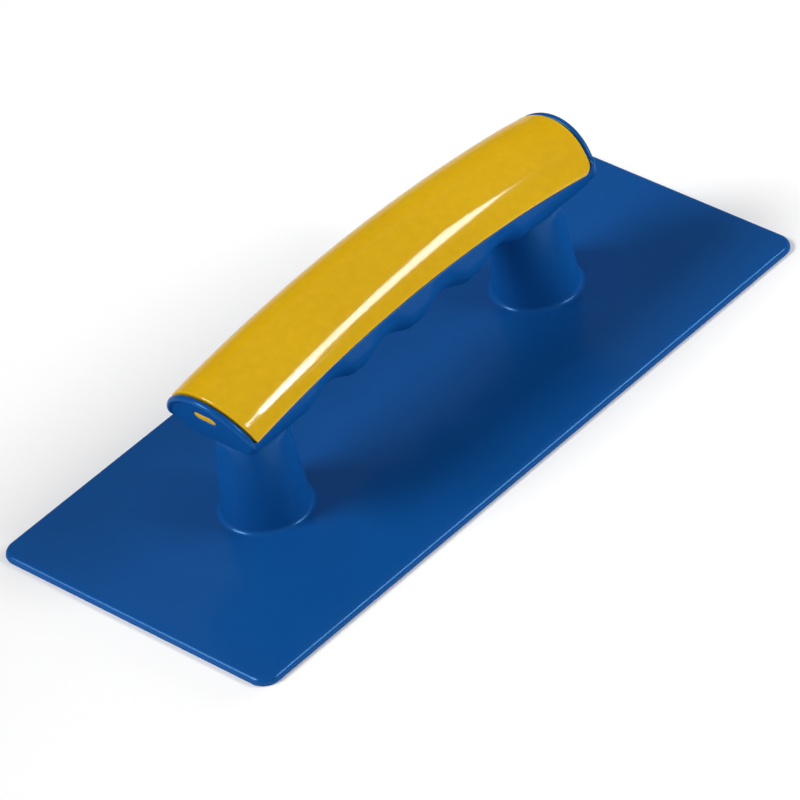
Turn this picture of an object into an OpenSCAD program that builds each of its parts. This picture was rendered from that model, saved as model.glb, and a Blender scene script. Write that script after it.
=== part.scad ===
// Plastic smoothing trowel.
// A moulded plate carries two hollow posts. A tray-shaped handle body lies on the posts and is
// held by one screw into each of them. A snap-in cover closes the tray and hides the screws.
// Millimetres. The origin is the middle of the plate's working face, X runs along the plate.

/* [Plate] */
// Length of the plate
plate_l = 280; // [240:1:360]
// Width of the plate
plate_w = 126; // [90:1:180]
// Thickness of the plate
plate_t = 3; // [2.5:0.1:6]
// Radius of the plate's corners, seen from above
corner_r = 5; // [3:0.5:15]
// Radius of the plate's rounded top edge
edge_r = 1.2; // [0.6:0.1:2]

/* [Posts] */
// Distance between the axes of the posts
post_pitch = 142; // [134:1:150]
// Diameter of a post where it meets the plate, without its fillet
post_foot_d = 33.8; // [28:0.2:40]
// Diameter of a post under the handle
post_top_d = 25.2; // [23:0.2:28]
// Radius of the fillet between post and plate
foot_fillet_r = 1.8; // [0.8:0.1:4]
// Wall of a post at its top
post_wall = 2.8; // [2:0.1:4]
// Floor of a post's core above the plate
post_floor_t = 3; // [1:0.5:8]
// Diameter of the screw boss inside a post
boss_d = 9; // [7.5:0.5:11]
// Thickness of the ribs between boss and post
rib_t = 2; // [1.2:0.1:3]

/* [Handle body] */
// Length of the handle along its parting line
handle_l = 179; // [172:1:200]
// Width of the handle
handle_w = 40; // [36:1:48]
// Free height for the fingers, from the plate to the underside of the handle
finger_gap = 36.5; // [30:0.5:50]
// Height of the body at its middle, from the underside to the parting line
body_h = 19.2; // [16:0.2:26]
// Drop of the parting line from the middle of the handle to its ends
handle_sag = 7.5; // [5:0.1:9]
// Outward lean of the end walls, in degrees
end_lean = 17; // [8:1:22]
// Side walls of the body
body_wall = 3; // [2.4:0.1:4]
// Floor of the body
floor_t = 3; // [2:0.1:4]
// End walls of the body
end_wall_t = 2.2; // [2:0.1:4]
// Radius of the rounded belly along the sides
belly_r = 11.5; // [10:0.5:16]
// Radius of the rounded heel under each end wall
heel_r = 5; // [2:0.5:7]

/* [Finger grooves] */
// Distance from groove to groove
groove_pitch = 29; // [24:0.5:29]
// Depth of a groove under the handle's middle line
groove_depth = 2; // [1:0.1:4]
// Height over the underside where a groove runs out in the sides
groove_rise = 13; // [10:0.5:15]
// Radius of a groove's floor, seen from the side
groove_r = 17; // [14:0.5:24]

/* [End rims] */
// Radius of the bead along the top of each end wall
rim_r = 1.3; // [0.9:0.1:1.6]
// Depth of the bead's top below the cover's crown
rim_drop = 0.9; // [0:0.1:1.5]
// Width of the slot in each end wall
slot_w = 10; // [7:0.5:14]
// Height of the slot
slot_h = 3.8; // [2.6:0.2:5]
// Height of the slot's middle over the parting line
slot_up = 4; // [3.2:0.2:6]

/* [Grip cover] */
// Height of the cover's crown over the parting line
crown_h = 13; // [10:0.2:16]
// Wall of the cover
cover_t = 2.4; // [1.6:0.1:3]
// Thickness of the locating lips inside the body
lip_t = 1.6; // [1:0.1:2.2]
// Depth of the lips below the parting line
lip_h = 3.5; // [2:0.1:4.5]
// Depth of the tabs' faces behind the end walls' faces
tab_recess = 0.5; // [0.1:0.1:1]

/* [Screws] */
// Diameter of the shank
screw_d = 3.6; // [3:0.1:4.2]
// Length under the head
screw_l = 22; // [16:0.5:28]
// Diameter of the head
head_d = 8; // [7:0.2:10]
// Height of the head
head_h = 2.8; // [2:0.1:3.6]
// Width of the cross recess's arms
recess_w = 1.2; // [0.8:0.1:1.6]
// Height of the pad under the head
pad_h = 2; // [1:0.1:3]

/* [Fits] */
// Clearance round pieces that fit into one another
fit_gap = 0.3; // [0.2:0.05:0.4]
// Gap between the cover's ends and the end walls
end_gap = 0.35; // [0.2:0.05:0.6]
// Clearance between the posts' saddles and the handle's belly
seat_gap = 0.1; // [0.05:0.05:0.3]

/* [Hidden] */
$fn = 72;
blue = "#0f4b8e";
yellow = "#d8aa20";
steel = "#b9bdc2";
overlap = 0.5;
arc_steps = 8;
arc_fn = 360;
rib_drop = 3;
spigot_h = 4;
spigot_wall = 2;
rim_proud = 0.45;
wall_step = 0.3;

handle_hw = handle_w / 2;
end_x = handle_l / 2;
under_z = plate_t + finger_gap;
parting_z = under_z + body_h;
end_z = parting_z - handle_sag;
parting_r = (end_x * end_x + handle_sag * handle_sag) / (2 * handle_sag);
arc_z = parting_z - parting_r;
top_z = parting_z + crown_h + overlap;
crown_r = (handle_hw * handle_hw + crown_h * crown_h) / (2 * crown_h);
crown_mid = crown_h - crown_r;
sweep_half = asin((end_x + crown_h) / (parting_r - body_h));
bead_at = crown_r - rim_drop - rim_r;
cover_end = end_wall_t + end_gap;
post_x = post_pitch / 2;
post_r = post_top_d / 2;
bore_r = post_r - post_wall;
grooves_half = groove_pitch * floor((post_x - post_r) / groove_pitch);
hole_d = screw_d + 2 * fit_gap;
seat_z = under_z + floor_t + pad_h;

// Points of a circular arc from angle a to angle b
function arc(centre, r, a, b) =
    [for (i = [0:arc_steps]) let (t = a + (b - a) * i / arc_steps) centre + r * [cos(t), sin(t)]];

// X of an end wall's plane at height z, drawn inwards by inset square to the plane
function end_at(z, inset) = end_x + tan(end_lean) * (z - end_z) - inset / cos(end_lean);

// Right end of the body's side view, from the underside round the heel to the top of the end;
// up lifts the underside and inset draws the end inwards
function half_side(up, inset) =
    let (heel = max(heel_r - inset, 1),
         heel_z = under_z + up + heel,
         heel_x = end_at(heel_z, inset) - heel / cos(end_lean))
    concat(arc([heel_x, heel_z], heel, -90, -end_lean), [[end_at(top_z, inset), top_z]]);

function mirrored(points) = [for (i = [len(points) - 1:-1:0]) [-points[i].x, points[i].y]];

// Flat shapes

module stadium(w, h) {
    square([w - h, h], center = true);
    for (s = [-1, 1]) translate([s * (w - h) / 2, 0]) circle(d = h);
}

// Cross-section of the body: straight sides and a rounded belly, inset by a wall
module belly_section(wall, up) {
    r = belly_r - wall;
    half = handle_hw - wall;
    low = under_z + up;
    for (s = [-1, 1]) translate([s * (half - r), low + r]) circle(r);
    translate([r - half, low]) square([2 * (half - r), r]);
    translate([-half, low + r]) square([2 * half, top_z - low]);
}

// Cross-section of the crown about the arc's axis, from low over the parting line upwards
module crown_section(inset, low) {
    intersection() {
        translate([parting_r + crown_mid, 0]) circle(crown_r - inset);
        translate([parting_r + low, -handle_w]) square([2 * crown_h, 2 * handle_w]);
    }
}

// Placement

// Sweeps a cross-section along the parting line's arc
module along_arc()
    translate([0, 0, arc_z]) rotate([90, 0, 0]) rotate([0, 0, 90 - sweep_half])
        rotate_extrude(angle = 2 * sweep_half, $fn = arc_fn) children();

module across() rotate([90, 0, 0]) linear_extrude(2 * handle_w, center = true) children();

module lengthwise() rotate([90, 0, 90]) linear_extrude(2 * handle_l, center = true) children();

// Slab between the two leaning end planes, drawn inwards by inset
module between_ends(inset)
    across() polygon([[-end_at(under_z, inset), under_z], [end_at(under_z, inset), under_z],
                      [end_at(top_z, inset), top_z], [-end_at(top_z, inset), top_z]]);

// Puts children on both end walls: Z up the wall from the parting line, X out of its face
module on_ends()
    for (s = [0, 1]) mirror([s, 0, 0]) translate([end_x, 0, end_z]) rotate([0, end_lean, 0]) children();

// Extrudes a shape drawn on an end wall from depth a to depth b along the wall's normal
module out_of_wall(a, b) translate([a, 0, 0]) rotate([90, 0, 90]) linear_extrude(b - a) children();

module at_posts() for (s = [-1, 1]) translate([s * post_x, 0, 0]) children();

// Base plate

// Profile of the plate's border, from the line of the corner centres out to the rounded edge
module border_profile() {
    square([corner_r - edge_r, plate_t]);
    square([corner_r, plate_t - edge_r]);
    translate([corner_r - edge_r, plate_t - edge_r]) circle(edge_r);
}

module border_bar(l) rotate([90, 0, 0]) linear_extrude(l, center = true) border_profile();

module plate() {
    inner_l = plate_l - 2 * corner_r;
    inner_w = plate_w - 2 * corner_r;
    linear_extrude(plate_t) square([inner_l, inner_w], center = true);
    for (s = [0, 180]) rotate(s) {
        translate([inner_l / 2, 0, 0]) border_bar(inner_w);
        translate([0, inner_w / 2, 0]) rotate(90) border_bar(inner_l);
        translate([inner_l / 2, inner_w / 2, 0]) rotate_extrude(angle = 90) border_profile();
        translate([-inner_l / 2, inner_w / 2, 0]) rotate(90) rotate_extrude(angle = 90) border_profile();
    }
}

// Outer form of a post: a cone whose foot runs into the plate with a fillet, tall enough to reach
// the handle's belly all round
module post_outer() {
    foot_r = post_foot_d / 2;
    taper = atan((foot_r - post_r) / finger_gap);
    fillet_z = plate_t + foot_fillet_r;
    fillet_x = foot_r - foot_fillet_r * tan(taper) + foot_fillet_r / cos(taper);
    fillet = arc([fillet_x, fillet_z], foot_fillet_r, 270, 180 + taper);
    past_flat = max(post_r - handle_hw + belly_r, 0);
    rise = belly_r - sqrt(belly_r * belly_r - past_flat * past_flat) + overlap;
    post_top_z = under_z + rise;
    rotate_extrude()
        polygon(concat([[0, plate_t / 2], [fillet_x, plate_t / 2]], fillet,
                       [[post_r - rise * tan(taper), post_top_z], [0, post_top_z]]));
}

// Core of a post, open at the top, round a ribbed screw boss
module post_core() {
    floor_z = plate_t + post_floor_t;
    difference() {
        translate([0, 0, floor_z]) cylinder(r = bore_r, h = finger_gap);
        cylinder(d = boss_d, h = under_z);
        for (a = [0, 90]) rotate(a)
            translate([-post_r, -rib_t / 2, 0]) cube([post_top_d, rib_t, under_z - spigot_h - rib_drop]);
    }
    translate([0, 0, seat_z - screw_l - rib_drop]) cylinder(d = hole_d, h = screw_l + rib_drop);
}

module base_plate() {
    color(blue) difference() {
        union() {
            plate();
            at_posts() post_outer();
        }
        at_posts() post_core();
        lengthwise() belly_section(-seat_gap, 0);
    }
}

// Handle body

// Disc on an end wall's face that the bead runs round
module end_disc() translate([0, crown_mid]) circle(bead_at);

// Bars bent round the belly that cut the finger grooves, made thicker by grow. A bar's inner side runs
// through the groove's floor under the middle line and meets the sides at the height where the groove runs out
module finger_grooves(grow) {
    outermost = grooves_half - groove_pitch / 2;
    low = under_z + groove_depth;
    high = under_z + groove_rise;
    axis_z = (handle_hw * handle_hw + high * high - low * low) / (2 * (high - low));
    bend_r = axis_z - low + groove_r;
    for (x = [-outermost:groove_pitch:outermost]) translate([x, 0, axis_z]) rotate([0, 90, 0])
        rotate_extrude() translate([bend_r, 0]) circle(groove_r + grow);
}

// Tray with an end wall at each end; the walls stand up behind the cover's ends
module body_tray() {
    outer = half_side(0, 0);
    inner = half_side(floor_t, end_wall_t);
    difference() {
        intersection() {
            across() polygon(concat(outer, mirrored(outer)));
            lengthwise() belly_section(0, 0);
            union() {
                translate([0, 0, arc_z]) rotate([90, 0, 0])
                    cylinder(r = parting_r, h = 2 * handle_w, center = true, $fn = arc_fn);
                on_ends() out_of_wall(wall_step - end_wall_t, end_wall_t) end_disc();
            }
        }
        finger_grooves(0);
        difference() {
            intersection() {
                across() polygon(concat(inner, mirrored(inner)));
                lengthwise() belly_section(body_wall, floor_t);
            }
            finger_grooves(body_wall);
        }
    }
}

// Bead that rims an end wall and runs out into the sides
module rim_bead() {
    bead_half = acos(-(crown_mid + overlap) / bead_at);
    intersection() {
        translate([rim_proud - rim_r, 0, crown_mid]) rotate([90, 0, 90]) rotate([0, 0, 90 - bead_half])
            rotate_extrude(angle = 2 * bead_half) translate([bead_at, 0]) circle(rim_r);
        cube([handle_w, handle_w, 3 * crown_h], center = true);
    }
}

// Pad under a screw head and the spigot that centres the body on a post
module screw_seat() {
    translate([0, 0, under_z + floor_t / 2]) cylinder(d = head_d + 2 * pad_h, h = floor_t / 2 + pad_h);
    translate([0, 0, under_z - spigot_h]) difference() {
        cylinder(r = bore_r - fit_gap, h = spigot_h + floor_t / 2);
        translate([0, 0, -overlap]) cylinder(r = bore_r - fit_gap - spigot_wall, h = spigot_h + overlap);
    }
}

module handle_body() {
    color(blue) difference() {
        union() {
            body_tray();
            on_ends() rim_bead();
            at_posts() screw_seat();
        }
        on_ends() out_of_wall(-2 * end_wall_t, end_wall_t) translate([0, slot_up]) stadium(slot_w, slot_h);
        at_posts() translate([0, 0, under_z - overlap]) cylinder(d = hole_d, h = floor_t + pad_h + 2 * overlap);
    }
}

// Grip cover

module cover_shell() {
    difference() {
        intersection() {
            along_arc() crown_section(0, 0);
            between_ends(cover_end);
        }
        intersection() {
            along_arc() crown_section(cover_t, -overlap);
            between_ends(cover_end + cover_t);
        }
    }
}

// Lips that run inside the body's side walls
module cover_lips() {
    outer_y = handle_hw - body_wall - fit_gap;
    inner_y = outer_y - lip_t;
    lip_top = crown_mid + sqrt(pow(crown_r - cover_t, 2) - inner_y * inner_y) + overlap;
    intersection() {
        along_arc() for (y = [-outer_y, inner_y])
            translate([parting_r - lip_h, y]) square([lip_h + lip_top, lip_t]);
        between_ends(cover_end + 2 * cover_t);
    }
}

module grip_cover() {
    color(yellow) {
        cover_shell();
        cover_lips();
        on_ends() out_of_wall(-cover_end - cover_t / 2, -tab_recess)
            translate([0, slot_up]) stadium(slot_w - 2 * fit_gap, slot_h - 2 * fit_gap);
    }
}

// Screws

module screw() {
    head_r = head_d / 2;
    dome_r = (head_r * head_r + head_h * head_h) / (2 * head_h);
    difference() {
        union() {
            cylinder(d = screw_d, h = overlap);
            translate([0, 0, -screw_l]) cylinder(d = screw_d, h = screw_l);
            intersection() {
                translate([0, 0, head_h - dome_r]) sphere(dome_r);
                cylinder(d = head_d + overlap, h = head_h);
            }
        }
        for (a = [0, 90]) rotate(a)
            translate([-head_r / 2, -recess_w / 2, head_h / 2]) cube([head_r, recess_w, head_h]);
    }
}

module handle_screws() {
    color(steel) at_posts() translate([0, 0, seat_z]) screw();
}

base_plate();
handle_body();
grip_cover();
handle_screws();
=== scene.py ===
import math

import bmesh
import bpy
import numpy as np
from mathutils import Matrix, Vector


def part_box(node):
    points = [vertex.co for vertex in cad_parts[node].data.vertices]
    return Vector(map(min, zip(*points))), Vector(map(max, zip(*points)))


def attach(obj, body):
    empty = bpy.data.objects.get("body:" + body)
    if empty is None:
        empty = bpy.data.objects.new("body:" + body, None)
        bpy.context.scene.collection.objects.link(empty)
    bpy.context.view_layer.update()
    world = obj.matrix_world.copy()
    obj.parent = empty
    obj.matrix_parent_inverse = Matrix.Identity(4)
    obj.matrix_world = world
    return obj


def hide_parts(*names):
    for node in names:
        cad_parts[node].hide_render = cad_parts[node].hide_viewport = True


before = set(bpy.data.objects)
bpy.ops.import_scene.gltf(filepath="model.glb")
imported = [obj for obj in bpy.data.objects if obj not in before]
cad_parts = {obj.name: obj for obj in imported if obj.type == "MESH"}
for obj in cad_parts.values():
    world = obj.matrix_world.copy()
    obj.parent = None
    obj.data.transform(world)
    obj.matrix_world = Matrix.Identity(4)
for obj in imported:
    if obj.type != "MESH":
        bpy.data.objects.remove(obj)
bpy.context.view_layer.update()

# Lengths are in millimetres and angles in degrees, unless a name or a comment says otherwise.
MM = 0.001


def size_of(node):
    """Size of a CAD node's box in millimetres."""
    low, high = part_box(node)
    return (np.array(high) - np.array(low)) / MM


# Plate and posts
plate_l, plate_w = size_of("base_plate")[:2]
plate_t = 3.0
plate_edge_r = 2.2       # rounding of the upper edge
plate_foot_r = 0.8       # rounding of the lower edge
plate_corner_r = 6.8
edge_strip = 0.5         # flat strip inside a rounded edge
post_x = 71.0
post_top_r = 12.6
post_foot_r = 15.85
post_rise = 2.1          # how far a post reaches up into the body
foot_fillet_r = 2.0
foot_strip = 0.4         # flat strip outside the fillet
finger_room = 36.5       # from the plate up to the body

# Handle body
handle_half_w = size_of("handle_body")[1] / 2
handle_end_x = 89.4      # where an end wall crosses the parting line
handle_sag = 7.5         # fall of the parting line from the middle to an end
body_h = 19.2            # from the underside to the parting line at the middle
belly_r = 12.5
heel_r = 5.0             # rounding under an end wall
end_lean = 17.0
end_corner_r = 2.2
inner_corner_r = 0.3
side_wall = 3.0
end_wall = 2.2
floor_t = 3.0
wall_run = 2.0           # the walls' upper rows start this far under the parting line's ends
top_edge_r = 0.5         # rounding of a wall's top edges
inner_drop = 0.3         # a wall's inner face starts this far under its outer face's top
groove_pitch = 29.0
groove_depth = 1.6
groove_rise = 13.0       # height over the underside at which a groove runs out
groove_r = 15.0
groove_blend = 3.5       # softness of the ridges between grooves
groove_shift = -4.0      # middle of the row of grooves
crown_h = 12.97          # rise of the cover's arch over the parting line

# Rolls over the end walls, and the slots in the walls
rim_r = 1.25
rim_drop = 0.4           # roll under the cover's arch
rim_proud = 0.55         # roll in front of the wall
rim_reach = 7.0          # how far the roll runs down past the parting line
rim_inset = 0.6 * rim_r  # roll's middle inside the belly's side
rim_blend = 1.0          # softness where the roll bends from the arch to the side
rim_fade = 0.16          # share of half the roll over which it dies away
rim_tip = 0.45           # share of its radius that is left there
rim_dive = 0.7           # how far its ends sink into the wall
arch_sink = 0.3          # wall's top under the roll's middle
arch_blend = 0.6         # softness where a side wall's top meets an end wall's
ring_margin = 0.01       # keeps the arch's root real
slot_w = 10.0
slot_h = 3.8
slot_up = 3.4            # middle of a slot over the parting line
slot_mouth_r = 0.4
slot_overcut = 1.0       # how far the cutter stands out of the wall

# Grip cover
cover_t = 2.4
cover_inset = 2.55       # cover's end face behind the wall's outer face
cover_end_r = 0.9        # rounding of the upper end edge
cover_far_r = 4.0        # lower corners at the +X end
cover_near_r = 0.4       # lower corners at the -X end
cover_edge_r = 0.5       # rounding of the lower edge
cover_droop = 0.3        # fall of the crown next to an end
droop_run = 7.0          # length over which it falls
seam_drop = 0.3          # seam under the parting line at the middle
seam_fall = 1.2          # what is added to that at an end
seam_gap = 0.12
tab_gap = 0.12
tab_recess = 0.1
tab_edge_r = 0.5

# Worked out from the sizes above
under_z = plate_t + finger_room
parting_mid_z = under_z + body_h
parting_end_z = parting_mid_z - handle_sag
parting_r = (handle_end_x ** 2 + handle_sag ** 2) / (2 * handle_sag)
parting_axis_z = parting_mid_z - parting_r
wall_z = parting_end_z - wall_run
crown_r = (handle_half_w ** 2 + crown_h ** 2) / (2 * crown_h)
crown_mid = crown_h - crown_r
rim_ring_r = crown_r - rim_drop - rim_r
groove_low = under_z + groove_depth
groove_top = under_z + groove_rise
groove_outer_x = 1.5 * groove_pitch
lean = math.radians(end_lean)
wall_up = np.array([math.sin(lean), 0, math.cos(lean)])
wall_out = np.array([math.cos(lean), 0, -math.sin(lean)])
across = np.array([0.0, 1.0, 0.0])
upright = np.array([0.0, 0.0, 1.0])
wall_foot = np.array([handle_end_x, 0, parting_end_z])
cover_end_x = handle_end_x - cover_inset / math.cos(lean)


# Grids and meshes

def smooth(t):
    """Runs from 0 to 1 as t does, with no slope at either end: 3 t squared less 2 t cubed."""
    t = np.clip(t, 0, 1)
    return t * t * (3 - 2 * t)


def softer_max(a, b, width):
    """The larger of a and b, with the corner between them rounded:
    (a + b + root of ((a - b) squared + width squared)) / 2."""
    return (a + b + np.sqrt((a - b) ** 2 + width ** 2)) / 2


def softer_min(a, b, width):
    """The smaller of a and b, less (width - their difference) squared / (4 width) where they are nearer
    to each other than width."""
    return np.minimum(a, b) - np.clip(width - np.abs(a - b), 0, None) ** 2 / (4 * width)


def quads_of(grid, closed):
    """Corner numbers of the quads between neighbours in a grid. A closed grid joins its last column to
    its first."""
    number = np.arange(grid.shape[0] * grid.shape[1]).reshape(grid.shape[:2])
    if closed:
        number = np.concatenate([number, number[:, :1]], axis=1)
    corners = [number[:-1, :-1], number[:-1, 1:], number[1:, 1:], number[1:, :-1]]
    return np.stack(corners, axis=-1).reshape(-1, 4)


def mirrored(grid, axis):
    """The grid across the plane where one coordinate is 0, with its columns reversed so that its faces
    still point outwards."""
    flip = np.ones(3)
    flip[axis] = -1
    return grid[:, ::-1] * flip


def four_quarters(far, near):
    """A quarter of a shape for each end, and their mirror images across the lengthwise middle plane."""
    half = [far, mirrored(near, 0)]
    return half + [mirrored(grid, 1) for grid in half]


def skin(grids, closed=False):
    """One closed skin from grids that meet. Points in the same place become one, quads with two corners
    in one place become triangles, and all faces turn round if the sum of their signed cones to the
    origin is negative."""
    closed = closed if isinstance(closed, list) else [closed] * len(grids)
    points = np.concatenate([g.reshape(-1, 3) for g in grids])
    starts = np.cumsum([0] + [g.shape[0] * g.shape[1] for g in grids[:-1]])
    faces = np.concatenate([quads_of(g, c) + s for g, c, s in zip(grids, closed, starts)])
    points, number = np.unique(np.round(points, 4) + 0.0, axis=0, return_inverse=True)
    faces = number.reshape(-1)[faces]
    same = faces == np.roll(faces, -1, axis=1)
    pinched = same.sum(axis=1) == 1
    quads = faces[same.sum(axis=1) == 0]
    thirds = faces[pinched][~same[pinched]].reshape(-1, 3)
    fans = np.concatenate([quads[:, [0, 1, 2]], quads[:, [0, 2, 3]], thirds])
    a, b, c = (points[fans[:, k]] for k in range(3))
    if np.einsum("ij,ij->i", a, np.cross(b, c)).sum() < 0:
        quads, thirds = quads[:, ::-1], thirds[:, ::-1]
    return points, quads, thirds


def mesh_of(name, skins):
    """A mesh object from closed skins, smooth shaded, at the origin in metres."""
    points = np.concatenate([s[0] for s in skins]) * MM
    starts = np.cumsum([0] + [len(s[0]) for s in skins[:-1]])
    faces = []
    for (_, quads, thirds), start in zip(skins, starts):
        faces += (quads + start).tolist()
        faces += (thirds + start).tolist()
    mesh = bpy.data.meshes.new(name)
    mesh.from_pydata(points, [], faces)
    mesh.polygons.foreach_set("use_smooth", np.ones(len(mesh.polygons), bool))
    mesh.update()
    made = bpy.data.objects.new(name, mesh)
    bpy.context.scene.collection.objects.link(made)
    return made


# Plate and posts

def plate_outline(inset):
    """Half of the plate's outline, drawn inwards by inset: along the -Y edge, round the end and back along
    the +Y edge. A point starts on a line, or at a corner's centre, that lies the corner radius inside the
    outline, and moves out along its normal by that radius less the inset."""
    far = plate_l / 2 - plate_corner_r
    side = plate_w / 2 - plate_corner_r
    run = np.linspace(0, far, 64)[:-1]
    end = np.linspace(-side, side, 60)[1:-1]
    turn = np.radians(np.linspace(-90, 0, 14))
    stretches = [(run, -side, -np.pi / 2), (far, -side, turn), (far, end, 0),
                 (far, side, turn + np.pi / 2), (run[::-1], side, np.pi / 2)]
    columns = [np.stack(np.broadcast_arrays(*stretch)) for stretch in stretches]
    x, y, angle = np.concatenate(columns, axis=1)
    out = plate_corner_r - inset
    return np.stack([x + out * np.cos(angle), y + out * np.sin(angle)], axis=-1)


def plate_ring(inset):
    """The half outline closed by the line across the plate's middle."""
    middle = np.linspace(1, -1, 66)[1:-1] * (plate_w / 2 - inset)
    return np.concatenate([plate_outline(inset), np.stack([np.zeros_like(middle), middle], axis=-1)])


def lifted(ring, z):
    """A flat ring of points at height z."""
    return np.concatenate([ring, np.full((len(ring), 1), z)], axis=1)


def plate_half():
    """Half of the plate with its post, as polar grids about the post. Each column leaves the post towards
    one point of the half outline. Its rows go down the post's cone, round the concave fillet and out over
    the flat top; then round the quarter circle of the edge and down the side; then back under the plate
    to below the post."""
    taper = math.atan((post_foot_r - post_top_r) / finger_room)
    fillet_z = plate_t + foot_fillet_r
    fillet_x = post_foot_r - foot_fillet_r * math.tan(taper) + foot_fillet_r / math.cos(taper)
    sweep = np.linspace(math.pi + taper, 1.5 * math.pi, 12)
    cone_z = np.linspace(under_z + post_rise, fillet_z + foot_fillet_r * math.sin(sweep[0]), 8)[:-1]
    cone_r = post_top_r + (under_z - cone_z) * math.tan(taper)
    fillet_r = fillet_x + foot_fillet_r * np.cos(sweep)
    radius = np.concatenate([[0], cone_r, fillet_r, [fillet_x + foot_strip]])
    height = np.concatenate([[cone_z[0]], cone_z, fillet_z + foot_fillet_r * np.sin(sweep), [plate_t]])

    post = np.array([post_x, 0])
    inner = plate_ring(plate_edge_r + edge_strip)
    ray = (inner - post) / np.linalg.norm(inner - post, axis=1, keepdims=True)
    rings = [lifted(post + r * ray, z) for r, z in zip(radius, height)]
    last = post + radius[-1] * ray
    rings += [lifted(last + (inner - last) * share, plate_t) for share in (0.1, 0.25, 0.45, 0.7, 1)]

    turn = np.linspace(0, math.pi / 2, 10)
    foot_turn = turn[::3]
    inset = np.concatenate([plate_edge_r * (1 - np.sin(turn)), plate_foot_r * (1 - np.cos(foot_turn))])
    level = np.concatenate([plate_t - plate_edge_r * (1 - np.cos(turn)),
                            plate_foot_r * (1 - np.sin(foot_turn))])
    edge = [lifted(plate_outline(plate_edge_r + edge_strip), plate_t)]
    edge += [lifted(plate_outline(d), z) for d, z in zip(inset, level)]
    edge += [lifted(plate_outline(plate_foot_r + edge_strip), 0)]

    outer = plate_ring(plate_foot_r + edge_strip)
    sole = [lifted(post + (outer - post) * share, 0) for share in (1, 0.6, 0.25, 0)]
    return [np.array(grid) for grid in (rings, edge, sole)]


def plate_with_posts():
    """The two halves, mirrored across the plate's middle."""
    half = plate_half()
    return skin(half + [mirrored(grid, 0) for grid in half], [True, False, True] * 2)


# Handle body

def parting(x):
    """Height of the line between body and cover: an arc that is highest at the middle."""
    return parting_axis_z + np.sqrt(parting_r ** 2 - x ** 2)


def seam(x):
    """Height of the joint that shows: just under the parting arc, and lower towards the ends as x
    squared."""
    return parting(x) - seam_drop - seam_fall * (x / handle_end_x) ** 2


def corner_lift(gap, r):
    """How far the cover's lower edge has risen at a distance from its end, round a quarter circle of
    radius r."""
    return r - np.sqrt(r ** 2 - np.clip(r - gap, 0, r) ** 2)


def body_half_width(z, wall):
    """Half-width of the body at height z, inset by a wall: a quarter circle of belly with straight sides
    over it."""
    r = belly_r - wall
    drop = np.clip(under_z + belly_r - z, 0, r)
    return handle_half_w - belly_r + np.sqrt(r ** 2 - drop ** 2)


def body_half_length(z, wall):
    """Half-length of the body at height z, inset by a wall: a heel arc, then the plane that leans
    outwards."""
    heel = max(heel_r - wall, 1)
    low = under_z + (floor_t if wall else 0)
    heel_z = low + heel
    heel_x = handle_end_x + math.tan(lean) * (heel_z - parting_end_z) - (wall + heel) / math.cos(lean)
    plane = handle_end_x + math.tan(lean) * (z - parting_end_z) - wall / math.cos(lean)
    arc = heel_x + np.sqrt(np.clip(heel ** 2 - (heel_z - z) ** 2, 0, None))
    return np.where(z < heel_z - heel * math.sin(lean), arc, plane)


# Columns of a quarter of the body: along a side, closer together towards the end, round the corner and
# along an end. Over the parting line's ends only the columns next to an end follow its leaning plane, by
# a high power of their share of the length.
side_count, corner_count, end_count = 120, 12, 40
side_crowding = 1.25
lean_power = 8
side_share = 1 - (1 - np.linspace(0, 1, side_count + 1)[:-1]) ** side_crowding
corner_turn = np.radians(np.linspace(90, 0, corner_count))
end_share = np.linspace(1, 0, end_count + 1)[1:]
along_x = np.concatenate([side_share, np.ones(corner_count + end_count)])
along_y = np.concatenate([np.ones(side_count + corner_count), end_share])
corner_x = np.concatenate([np.zeros(side_count), np.cos(corner_turn), np.ones(end_count)])
corner_y = np.concatenate([np.ones(side_count), np.sin(corner_turn), np.zeros(end_count)])
turn_to_end = np.concatenate([np.full(side_count, np.pi / 2), corner_turn, np.zeros(end_count)])


def body_loop(z, side, end, corner):
    """A quarter of a rounded rectangle at the height z, or at one height for each column: straights and a
    corner arc. It is inset by a side wall and an end wall."""
    length = body_half_length(np.minimum(z, parting_end_z), end)
    length = length + (body_half_length(z, end) - length) * along_x ** lean_power
    width = body_half_width(z, side)
    x = along_x * (length - corner) + corner_x * corner
    y = along_y * (width - corner) + corner_y * corner
    return np.stack([x, y, np.broadcast_to(z, x.shape)], axis=-1)


# Finger grooves go round the belly, about a level line that is as far from a groove's floor as from
# where it runs out.
groove_axis_z = (handle_half_w ** 2 + groove_top ** 2 - groove_low ** 2) / (2 * (groove_top - groove_low))


def grooved(points, wall, middle):
    """Draws points in towards the grooves' axis. At dx from a groove's middle they lie no farther from the
    axis than the groove's bottom plus radius - root of (radius squared - dx squared), which is a torus cut
    out of the belly. middle is where the row of grooves has its middle."""
    x = np.abs(points[..., 0] - middle)
    dx = np.where(x > groove_outer_x, x - groove_outer_x, np.abs(x % groove_pitch - groove_pitch / 2))
    r = groove_r + wall
    limit = groove_axis_z - groove_low - wall + r - np.sqrt(np.clip(r ** 2 - dx ** 2, 0, None))
    away = np.hypot(points[..., 1], points[..., 2] - groove_axis_z)
    drawn = np.where(dx < r, softer_min(away, limit, groove_blend), away) / away
    points[..., 1] *= drawn
    points[..., 2] = groove_axis_z + (points[..., 2] - groove_axis_z) * drawn
    return points


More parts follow.
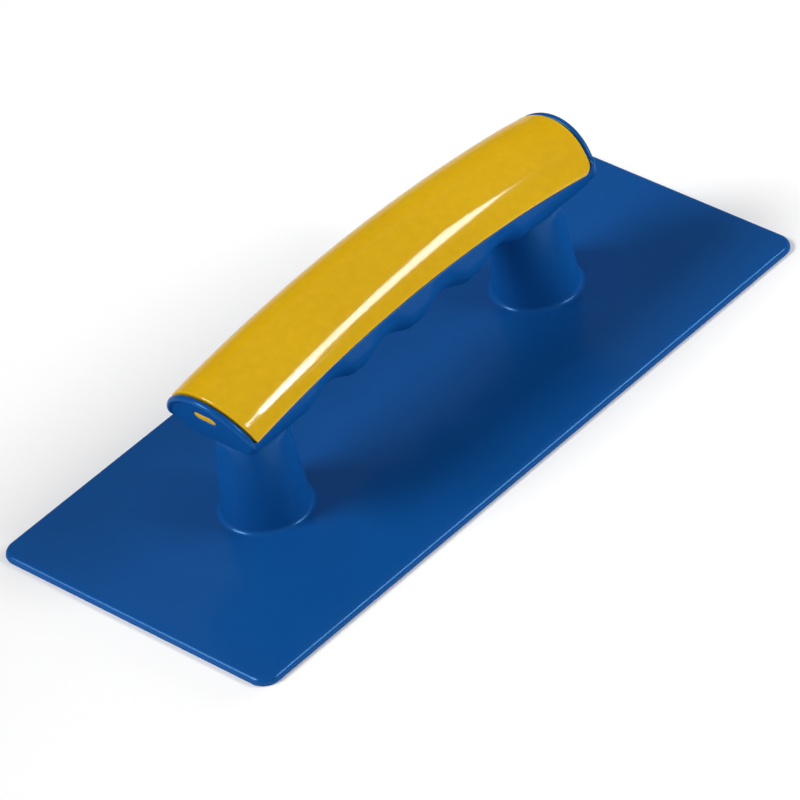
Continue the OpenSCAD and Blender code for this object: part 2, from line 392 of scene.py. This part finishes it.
def wall_top():
    """Ways out of the wall, ways into it as a share of its thickness less its two edge radii, and ways up
    it: a flat top with an outer and an inner edge rounded by quarter circles."""
    turn = np.linspace(0, math.pi / 2, 8)
    flat = np.linspace(0, 1, 7)[1:-1]
    level = np.ones_like(flat)
    outward = top_edge_r * np.concatenate([np.cos(turn) - 1, -level, -1 - np.sin(turn)])
    share = np.concatenate([np.zeros_like(turn), flat, np.ones_like(turn)])
    rise = top_edge_r * np.concatenate([np.sin(turn), level, np.cos(turn)])
    return outward, share, rise


def drawn_in(loop, share):
    """A loop's points drawn towards the middle line. At share 0 a point is on the line, moved back from
    the end by as much as it was from the line, in proportion to how near the end it is."""
    x, y, z = loop.T
    return np.stack([x - (1 - share) * y * along_x, y * share, z], axis=-1)


def body_quarter(corner_r, middle):
    """A quarter of the handle body as one grid. A column starts under the body's middle line, runs out to
    the belly, up its curve and the side or end wall, over the wall's top, down inside and back to the
    middle line. corner_r is the radius of the cover's lower corner, which the wall's top follows, and
    middle is the middle of the row of grooves."""
    count = len(along_x)
    belly_turn = np.linspace(0, math.acos(1 - (wall_z - under_z) / belly_r), 30)
    rows = []

    lowest = body_loop(np.full(count, under_z), 0, 0, end_corner_r)
    for share in (0, 0.4, 0.8):
        rows.append(grooved(drawn_in(lowest, share), 0, middle))
    for turn in belly_turn:
        z = np.full(count, under_z + belly_r * (1 - math.cos(turn)))
        rows.append(grooved(body_loop(z, 0, 0, end_corner_r), 0, middle))

    # The wall's outer face ends at the seam along a side, and inside the roll along an end.
    level = body_loop(np.full(count, wall_z), 0, 0, end_corner_r)
    y = np.minimum(level[:, 1], rim_ring_r - ring_margin)
    arch = parting_end_z + (crown_mid - arch_sink + np.sqrt(rim_ring_r ** 2 - y ** 2)) * math.cos(lean)
    lift = corner_lift(cover_end_x - level[:, 0], corner_r)
    side_top = seam(level[:, 0]) - top_edge_r - seam_gap / 2 + lift
    top = np.where(turn_to_end == np.pi / 2, side_top, softer_max(side_top, arch, arch_blend))
    for share in np.linspace(0, 1, 15)[1:]:
        rows.append(grooved(body_loop(wall_z + (top - wall_z) * share, 0, 0, end_corner_r), 0, middle))

    # Over the top: out is square to the wall and up lies in it.
    at_end = np.cos(turn_to_end)[:, None]
    at_side = np.sin(turn_to_end)[:, None]
    out = at_end * wall_out + at_side * across
    up = upright + (wall_up - upright) * at_end
    thick = end_wall + (side_wall - end_wall) * at_side
    outward, inward, rise = (way[:, None, None] for way in wall_top())
    rows += list((rows[-1] + (outward - inward * (thick - 2 * top_edge_r)) * out + rise * up)[1:])

    # Inside, down the walls, round the belly and in over the floor.
    inner_r = belly_r - side_wall
    inner_z = under_z + floor_t
    inner_turn = np.linspace(math.acos(1 - (wall_z - inner_z) / inner_r), 0, 14)
    heights = [wall_z + (top - inner_drop - wall_z) * share for share in np.linspace(1, 0, 6)[:-1]]
    heights += [np.full(count, inner_z + inner_r * (1 - math.cos(turn))) for turn in inner_turn]
    for z in heights:
        rows.append(grooved(body_loop(z, side_wall, end_wall, inner_corner_r), side_wall, middle))
    inside = body_loop(np.full(count, inner_z), side_wall, end_wall, inner_corner_r)
    for share in (0.5, 0):
        rows.append(grooved(drawn_in(inside, share), side_wall, middle))
    return np.array(rows)


def rim_roll():
    """The soft roll over an end wall: a circle carried along an arch in the wall's plane. The arch is the
    rim's ring, kept within the belly's width where it comes down the sides. The circle shrinks and sinks
    into the wall at both ends, which are closed by drawing it to a point."""
    along = np.linspace(-1, 1, 161)
    reach = math.acos((-rim_reach - crown_mid) / rim_ring_r)
    up_wall = crown_mid + rim_ring_r * np.cos(reach * along)
    belly = body_half_width(parting_end_z + up_wall * math.cos(lean), 0) - rim_inset
    out_y = np.sign(along) * softer_min(rim_ring_r * np.abs(np.sin(reach * along)), belly, rim_blend)
    fade = smooth((1 - np.abs(along)) / rim_fade)
    r = rim_r * np.where(np.abs(along) == 1, 0, rim_tip + (1 - rim_tip) * fade)
    depth = rim_proud - rim_r - rim_dive * (1 - fade)
    path = wall_foot + out_y[:, None] * across + up_wall[:, None] * wall_up + depth[:, None] * wall_out
    tangent = np.gradient(path, axis=0)
    tangent /= np.linalg.norm(tangent, axis=1, keepdims=True)
    aside = np.cross(tangent, wall_out)
    aside /= np.linalg.norm(aside, axis=1, keepdims=True)
    face = np.cross(aside, tangent)
    turn = np.linspace(0, 2 * math.pi, 29)[:-1, None]
    ring = np.cos(turn) * aside[:, None] + np.sin(turn) * face[:, None]
    return path[:, None] + r[:, None, None] * ring


def stadium(w, h, count=24):
    """Points round a flat-sided oval, with their normals: two half circles and the straights between
    them."""
    turn = np.linspace(-90, 90, count)
    angle = np.radians(np.concatenate([turn, turn + 180]))
    centre = np.concatenate([np.full(count, 1), np.full(count, -1)]) * (w - h) / 2
    normal = np.stack([np.cos(angle), np.sin(angle)], axis=-1)
    return np.stack([centre, np.zeros(2 * count)], axis=-1) + normal * h / 2, normal


def on_wall(flat, depth):
    """Points drawn on the end wall's face, across it and up it from a slot's middle, at one depth along
    its normal."""
    return wall_foot + flat[:, :1] * across + (flat[:, 1:] + slot_up) * wall_up + depth * wall_out


def oval_plug(w, h, profile):
    """A closed oval solid on the end wall: an oval carried along a profile of (growth, depth), with ends
    drawn to its middle line."""
    oval, normal = stadium(w, h)
    rings = [on_wall(oval + grow * normal, depth) for grow, depth in profile]
    middle_line = oval * [1 - h / w, 0]
    first, last = profile[0][1], profile[-1][1]
    return np.array([on_wall(middle_line, first)] + rings + [on_wall(middle_line, last)])


def both_ends(grid):
    """A closed solid at one end and its mirror image at the other."""
    return [skin([grid], True), skin([mirrored(grid, 0)], True)]


def slot_cutters():
    """Ovals that open the end walls, widening at the wall's face by a quarter circle so that the slot's
    edge is round."""
    turn = np.linspace(0, math.pi / 2, 7)
    mouth = [(slot_mouth_r * (1 - math.cos(t)), -slot_mouth_r * (1 - math.sin(t))) for t in turn]
    profile = [(0, -2 * end_wall)] + mouth + [(slot_mouth_r, slot_overcut)]
    return both_ends(oval_plug(slot_w, slot_h, profile))


def slotted_body():
    """The body's four quarters as one mesh object, with the end slots cut out and the end rolls joined
    on."""
    cutters = mesh_of("slot_cutters", slot_cutters())
    cutters.data.polygons.foreach_set("use_smooth", np.zeros(len(cutters.data.polygons), bool))
    far = body_quarter(cover_far_r, groove_shift)
    near = body_quarter(cover_near_r, -groove_shift)
    made = mesh_of("moulded_handle_body", [skin(four_quarters(far, near))])
    cut = made.modifiers.new("end_slots", "BOOLEAN")
    cut.operation = "DIFFERENCE"
    cut.solver = "EXACT"
    cut.object = cutters
    opened = bpy.data.meshes.new_from_object(made.evaluated_get(bpy.context.evaluated_depsgraph_get()))
    made.modifiers.clear()
    rolls = mesh_of("rim_rolls", both_ends(rim_roll()))
    joined = bmesh.new()
    joined.from_mesh(opened)
    joined.from_mesh(rolls.data)
    joined.to_mesh(opened)
    joined.free()
    made.data = opened
    bpy.data.objects.remove(cutters)
    bpy.data.objects.remove(rolls)
    return made


# Grip cover

def cover_section(r, low):
    """Half sections of the cover, across and above the parting line, one for each height low of its lower
    edge: an arc of radius r from the top down, then a small arc round the lower edge."""
    low = low[:, None]
    edge_at = np.arccos((low + cover_edge_r - crown_mid) / (r - cover_edge_r))
    main = np.linspace(0, 1, 48) * edge_at
    turn = math.pi / 2 - edge_at - np.linspace(0, 1, 10)[1:] * (math.pi - edge_at)
    edge_y = (r - cover_edge_r) * np.sin(edge_at) + cover_edge_r * np.cos(turn)
    edge_h = low + cover_edge_r + cover_edge_r * np.sin(turn)
    y = np.concatenate([r * np.sin(main), edge_y], axis=1)
    h = np.concatenate([crown_mid + r * np.cos(main), edge_h], axis=1)
    return np.stack([y, h], axis=-1)


def end_angle(h, inset):
    """Angle along the parting arc where a point h above it meets the end plane, which is drawn inwards by
    inset: lean + arcsin(reach / (arc radius + h))."""
    reach = handle_end_x * math.cos(lean) - inset + (parting_axis_z - parting_end_z) * math.sin(lean)
    return lean + np.arcsin(reach / (parting_r + h))


def on_arc(section, share, inset):
    """Sections on the parting arc, each at a share of the way from the middle to the end plane. They sink
    a little towards the end."""
    y, h = section[..., 0], section[..., 1]
    angle = share[:, None] * end_angle(h, inset[:, None])
    to_end = cover_end_x - (parting_r + h) * np.sin(angle)
    up = parting_r + h - cover_droop * smooth(1 - to_end / droop_run) * np.clip(h / crown_h, 0, 1)
    return np.stack([up * np.sin(angle), y, parting_axis_z + up * np.cos(angle)], axis=-1)


def cover_dome(r, inset, end_r, corner_r):
    """A quarter of a dome: the section carried along the arc, rolled over at the end by a quarter circle,
    then drawn down over the end face to its foot on the middle plane. Its lower edge follows the seam, and
    rises round a corner of radius corner_r at the end. The roll dies away within two of its radii of that
    edge. Sections are closer together towards the end."""
    crowding = 1.3
    along = 1 - np.linspace(1, 0, 110) ** crowding
    roll = np.linspace(0, math.pi / 2, 13)[1:]
    share = np.concatenate([along, np.ones_like(roll)])
    turn = np.concatenate([np.zeros_like(along), roll])
    end_inset = inset + end_r * (1 - np.sin(turn))
    angle = share * end_angle(0, end_inset)
    x = parting_r * np.sin(angle)
    gap = parting_r * (end_angle(0, cover_inset) - angle)
    low = seam(x) - parting(x) + seam_gap / 2 + corner_lift(gap, corner_r)
    section = cover_section(r, low)
    away = section - [0, crown_mid]
    away /= np.linalg.norm(away, axis=-1, keepdims=True)
    away *= smooth((section[..., 1:] - low[:, None, None]) / (2 * end_r))
    section = section - away * end_r * (1 - np.cos(turn))[:, None, None]
    dome = on_arc(section, share, end_inset)
    foot = np.array([0, low[-1]])
    inward = np.array([0.04, 0.4, 1])
    face = section[-1] + (foot - section[-1]) * inward[:, None, None]
    face = on_arc(face, np.ones_like(inward), np.full_like(inward, inset))
    return np.concatenate([dome, face]).transpose(1, 0, 2)


def cover_quarter(corner_r):
    """The outer dome, and an inner one a wall's thickness in, joined along their lower edges."""
    outer = cover_dome(crown_r, cover_inset, cover_end_r, corner_r)
    inner = cover_dome(crown_r - cover_t, cover_inset + cover_t, cover_end_r, corner_r)
    return np.concatenate([outer, inner[::-1]])


def end_tabs():
    """The cover's tabs: ovals with a rounded front edge, set a little back in the slots."""
    turn = np.linspace(0, math.pi / 2, 7)
    front = [(-tab_edge_r * (1 - math.cos(t)), -tab_recess - tab_edge_r * (1 - math.sin(t))) for t in turn]
    back = -cover_inset - cover_t / 2
    return both_ends(oval_plug(slot_w - 2 * tab_gap, slot_h - 2 * tab_gap, [(0, back)] + front))


# Materials

def linear(hex_colour):
    """Linear colour of an sRGB hex value."""
    share = np.array([int(hex_colour[k:k + 2], 16) for k in (0, 2, 4)]) / 255
    return (*np.where(share <= 0.04045, share / 12.92, ((share + 0.055) / 1.055) ** 2.4), 1.0)


def add(tree, kind, links=(), values=(), **settings):
    """Adds a node: settings are its properties, values its inputs by name or number, and links the
    sources of its inputs."""
    made = tree.nodes.new(kind)
    for name, value in settings.items():
        setattr(made, name, value)
    for name, value in dict(values).items():
        made.inputs[name].default_value = value
    for name, source in dict(links).items():
        tree.links.new(source, made.inputs[name])
    return made


def new_material(name):
    """An empty material and its tree."""
    made = bpy.data.materials.new(name)
    made.use_nodes = True
    made.node_tree.nodes.clear()
    return made, made.node_tree


def moulded_plastic(name, base, deep, sheen, roughness, specular, mottle):
    """Injection-moulded polypropylene: an even, saturated colour under a gloss. Its colour drifts a little
    along the melt's flow and is finely mottled by the pigment, its gloss is uneven where it has been
    handled and the skin ripples very slightly. The gloss has a tint of the pigment under it and dies away
    at glancing angles, so outlines keep their colour against a pale ground. The pigment's specks are far
    finer than a millimetre on the real one; they are drawn coarser so that they show."""
    flow_mm, speck_mm, handled_mm, ripple_mm = 60, 3, 14, 6
    ripple_depth_mm = 0.02
    glancing_specular = 0.03
    made, tree = new_material(name)
    place = add(tree, "ShaderNodeTexCoord").outputs["Object"]
    flow = add(tree, "ShaderNodeTexNoise", {"Vector": place},
               {"Scale": 1 / (flow_mm * MM), "Detail": 3, "Roughness": 0.6})
    speck = add(tree, "ShaderNodeTexNoise", {"Vector": place},
                {"Scale": 1 / (speck_mm * MM), "Detail": 2})
    handled = add(tree, "ShaderNodeTexNoise", {"Vector": place},
                  {"Scale": 1 / (handled_mm * MM), "Detail": 5, "Roughness": 0.65})
    ripple = add(tree, "ShaderNodeTexNoise", {"Vector": place},
                 {"Scale": 1 / (ripple_mm * MM), "Detail": 1})
    drift = add(tree, "ShaderNodeMapRange", {"Value": flow.outputs["Fac"]},
                {"From Min": 0.3, "From Max": 0.7, "To Min": 0, "To Max": 1})
    tone = add(tree, "ShaderNodeMix", {"Factor": drift.outputs[0]},
               {6: linear(deep), 7: linear(base)}, data_type="RGBA")
    shade = add(tree, "ShaderNodeMapRange", {"Value": speck.outputs["Fac"]},
                {"From Min": 0.25, "From Max": 0.75, "To Min": 1 - mottle, "To Max": 1 + mottle})
    mottled = add(tree, "ShaderNodeVectorMath", {0: tone.outputs[2], "Scale": shade.outputs[0]},
                  operation="SCALE")
    gloss = add(tree, "ShaderNodeMapRange", {"Value": handled.outputs["Fac"]},
                {"From Min": 0.3, "From Max": 0.7, "To Min": roughness * 0.85, "To Max": roughness * 1.15})
    swell = add(tree, "ShaderNodeBump", {"Height": ripple.outputs["Fac"]},
                {"Distance": ripple_depth_mm * MM, "Strength": 1})
    glance = add(tree, "ShaderNodeLayerWeight", values={"Blend": 0.5})
    shine = add(tree, "ShaderNodeMapRange", {"Value": glance.outputs["Facing"]},
                {"From Min": 0.2, "From Max": 0.47, "To Min": specular, "To Max": glancing_specular},
                interpolation_type="SMOOTHSTEP")
    shader = add(tree, "ShaderNodeBsdfPrincipled",
                 {"Base Color": mottled.outputs[0], "Roughness": gloss.outputs[0],
                  "Normal": swell.outputs[0], "Specular IOR Level": shine.outputs[0]},
                 {"IOR": 1.49, "Specular Tint": linear(sheen)})
    add(tree, "ShaderNodeOutputMaterial", {"Surface": shader.outputs[0]})
    return made


def zinc_plate():
    """Bright zinc on steel screws: cool grey metal with a faint bluish bloom and a fine grain from the
    plating bath."""
    bloom_mm, bath_mm = 2.5, 0.4
    grain_depth_mm = 0.003
    made, tree = new_material("bright_zinc_plated_steel")
    place = add(tree, "ShaderNodeTexCoord").outputs["Object"]
    bloom = add(tree, "ShaderNodeTexNoise", {"Vector": place}, {"Scale": 1 / (bloom_mm * MM), "Detail": 3})
    bath = add(tree, "ShaderNodeTexNoise", {"Vector": place}, {"Scale": 1 / (bath_mm * MM), "Detail": 2})
    tone = add(tree, "ShaderNodeMix", {"Factor": bloom.outputs["Fac"]},
               {6: linear("B4B9C2"), 7: linear("C9CBCC")}, data_type="RGBA")
    gloss = add(tree, "ShaderNodeMapRange", {"Value": bath.outputs["Fac"]}, {"To Min": 0.22, "To Max": 0.4})
    grain = add(tree, "ShaderNodeBump", {"Height": bath.outputs["Fac"]}, {"Distance": grain_depth_mm * MM})
    shader = add(tree, "ShaderNodeBsdfPrincipled",
                 {"Base Color": tone.outputs[2], "Roughness": gloss.outputs[0], "Normal": grain.outputs[0]},
                 {"Metallic": 1.0})
    add(tree, "ShaderNodeOutputMaterial", {"Surface": shader.outputs[0]})
    return made


# The plate and body are satin, with a bluish gloss. The cover is glossier and its gloss is white.
blue = moulded_plastic("satin_moulded_blue_polypropylene", base="0D4B8E", deep="0C4888", sheen="76BEFF",
                       roughness=0.22, specular=0.5, mottle=0.015)
yellow = moulded_plastic("gloss_moulded_yellow_polypropylene", base="D3A810", deep="CDA00E", sheen="FFFFFF",
                         roughness=0.09, specular=0.45, mottle=0.04)
zinc = zinc_plate()


# Pieces

def dress(piece, material, node):
    """Gives a piece its material and its body, and hides the CAD node that it stands for."""
    piece.data.materials.append(material)
    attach(piece, "root")
    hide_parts(node)


plate = mesh_of("plate_with_posts", [plate_with_posts()])
dress(plate, blue, "base_plate")

body = slotted_body()
dress(body, blue, "handle_body")

shell = skin(four_quarters(cover_quarter(cover_far_r), cover_quarter(cover_near_r)))
cover = mesh_of("gloss_grip_cover", [shell] + end_tabs())
dress(cover, yellow, "grip_cover")

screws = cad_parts["handle_screws"]
screws.data.materials.clear()
screws.data.materials.append(zinc)


# Floor, lamps, world and camera

def toward(azimuth, elevation):
    """Unit direction from the object: azimuth 0 is -Y and turns towards +X."""
    a, e = math.radians(azimuth), math.radians(elevation)
    return Vector((math.sin(a) * math.cos(e), -math.cos(a) * math.cos(e), math.sin(e)))


def lamp(name, kind, azimuth, elevation, distance, **settings):
    """Adds a lamp at a distance in metres that faces the origin and isn't seen by the camera."""
    data = bpy.data.lights.new(name, kind)
    for setting, value in settings.items():
        setattr(data, setting, value)
    made = bpy.data.objects.new(name, data)
    bpy.context.scene.collection.objects.link(made)
    direction = toward(azimuth, elevation)
    facing = direction.to_track_quat("Z", "Y").to_matrix().to_4x4()
    made.matrix_world = Matrix.Translation(direction * distance) @ facing
    made.visible_camera = False
    return made


def panel(name, azimuth, elevation, distance, half_across, half_up, radiance):
    """A flat panel of light, by the half-angles that it takes up as seen from the object and by its
    radiance."""
    across_m = 2 * distance * math.tan(math.radians(half_across))
    up_m = 2 * distance * math.tan(math.radians(half_up))
    return lamp(name, "AREA", azimuth, elevation, distance, shape="RECTANGLE", size=across_m, size_y=up_m,
                energy=radiance * math.pi * across_m * up_m)


floor_half_m = 20.0
floor_mesh = bpy.data.meshes.new("studio_floor")
floor_corners = np.array([[-1, -1, 0], [1, -1, 0], [1, 1, 0], [-1, 1, 0]]) * floor_half_m
floor_mesh.from_pydata(floor_corners, [], [(0, 1, 2, 3)])
floor = bpy.data.objects.new("studio_floor", floor_mesh)
bpy.context.scene.collection.objects.link(floor)
paper, paper_tree = new_material("white_studio_paper")
paper_shader = add(paper_tree, "ShaderNodeBsdfDiffuse", values={"Color": linear("FBFBFB")})
add(paper_tree, "ShaderNodeOutputMaterial", {"Surface": paper_shader.outputs[0]})
floor_mesh.materials.append(paper)

# A broad soft key from the camera's left gives the level of light and the shadow.
lamp("broad_key", "SUN", -123, 40.5, 5, energy=2.5, angle=math.radians(26))

# A long narrow strip on the right is the streak along the cover, and its turn sets which way the streak
# runs. A short panel widens the streak's near end, and a faint one adds a branch there.
strip_turn = 17
strip = panel("strip", 36.8, 37.7, 3.0, 15.2, 4.1, 17)
strip.matrix_world = strip.matrix_world @ Matrix.Rotation(math.radians(strip_turn), 4, "Z")
panel("strip_end", 24, 31, 3.0, 2.5, 3.5, 16)
panel("strip_edge", 26, 22.5, 3.0, 1.2, 1.0, 2.5)

# Low panels fill in the cover and plate from the right and the posts from the front. They aren't seen
# in the gloss.
panel("low_side_panel", 76, 7, 2.0, 19.0, 7.0, 9).visible_glossy = False
panel("low_front_panel", -42, 6, 2.0, 19.0, 6.0, 3).visible_glossy = False

# A weak panel opposite the camera is a soft sheen on the flat plate.
panel("back_panel", 137.7, 38.2, 0.9, 16.0, 11.0, 0.2)

# The room is dim, and brighter on the side of the key.
room_dim, room_bright = 0.19, 0.6
world = bpy.data.worlds.new("dim_studio")
bpy.context.scene.world = world
world.use_nodes = True
sky = world.node_tree
sky.nodes.clear()
key_side = add(sky, "ShaderNodeVectorMath", {0: add(sky, "ShaderNodeTexCoord").outputs["Generated"]},
               {1: toward(-110, 0)}, operation="DOT_PRODUCT")
glow = add(sky, "ShaderNodeMapRange", {"Value": key_side.outputs["Value"]},
           {"From Min": 0.7, "From Max": 0.95, "To Min": room_dim, "To Max": room_bright},
           interpolation_type="SMOOTHSTEP")
room = add(sky, "ShaderNodeBackground", {"Strength": glow.outputs[0]}, {"Color": (1, 1, 1, 1)})
add(sky, "ShaderNodeOutputWorld", {"Surface": room.outputs[0]})

# Camera, fitted to the photograph: its direction and roll, the point it looks at and its distance, and
# its focal length in pixels of an image 800 pixels across.
camera_azimuth = -42.024
camera_elevation = 38.405
camera_roll = -10.031
camera_distance = 2229.7 * MM
camera_target = Vector((-1.235, 1.168, 0)) * MM
focal_px = 6426.7
image_px = 800
sensor_mm = 36.0

back = toward(camera_azimuth, camera_elevation)
level_right = Vector((math.cos(math.radians(camera_azimuth)), math.sin(math.radians(camera_azimuth)), 0))
level_up = back.cross(level_right)
roll_cos, roll_sin = math.cos(math.radians(camera_roll)), math.sin(math.radians(camera_roll))
right = roll_cos * level_right + roll_sin * level_up
up = roll_cos * level_up - roll_sin * level_right
eye = camera_target + back * camera_distance
camera_data = bpy.data.cameras.new("camera")
camera_data.sensor_width = sensor_mm
camera_data.lens = focal_px * sensor_mm / image_px
camera_data.clip_end = 100
camera = bpy.data.objects.new("camera", camera_data)
bpy.context.scene.collection.objects.link(camera)
camera.matrix_world = Matrix.Translation(eye) @ Matrix((right, up, back)).transposed().to_4x4()
bpy.context.scene.camera = camera

bpy.context.scene.view_settings.view_transform = "Standard"
